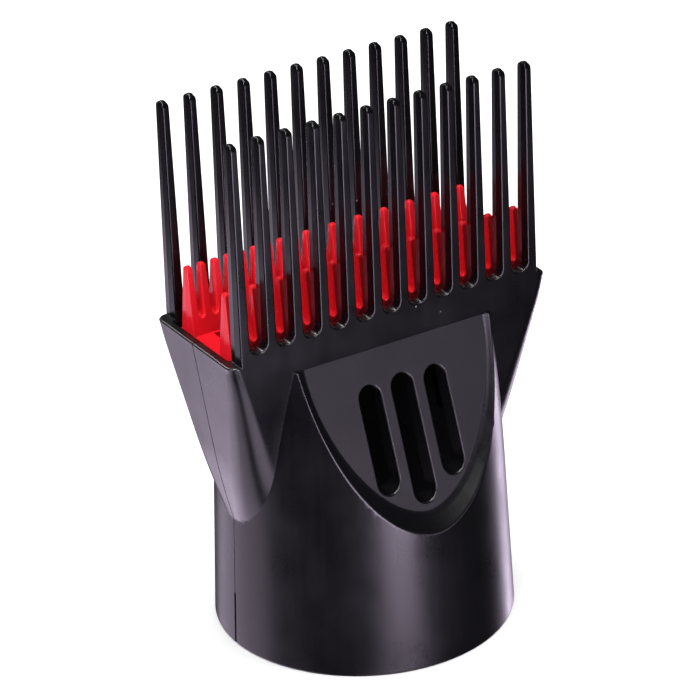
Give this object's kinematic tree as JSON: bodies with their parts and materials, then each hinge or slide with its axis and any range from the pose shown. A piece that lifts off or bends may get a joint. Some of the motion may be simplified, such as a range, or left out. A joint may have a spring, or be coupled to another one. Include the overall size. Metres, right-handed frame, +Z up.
{
  "type": "hair dryer comb nozzle",
  "caption": "Push-on comb nozzle for a hair dryer: a round collar widens to a flat mouth with two rows of long teeth around a short-toothed comb insert.",
  "frame": {"origin": "centre of the collar's bottom edge, on the surface that the nozzle stands on", "axes": "+Z up along the collar's axis towards the tooth tips, X along the mouth's width, -Y the front"},
  "size_m": [0.0632, 0.053, 0.0995],
  "materials": {
    "housing": "satin black injection-moulded plastic",
    "insert": "glossy red injection-moulded plastic"
  },
  "bodies": {
    "root": {"front_shell": "housing", "rear_shell": "housing", "comb_insert": "insert"}
  },
  "joints": []
}
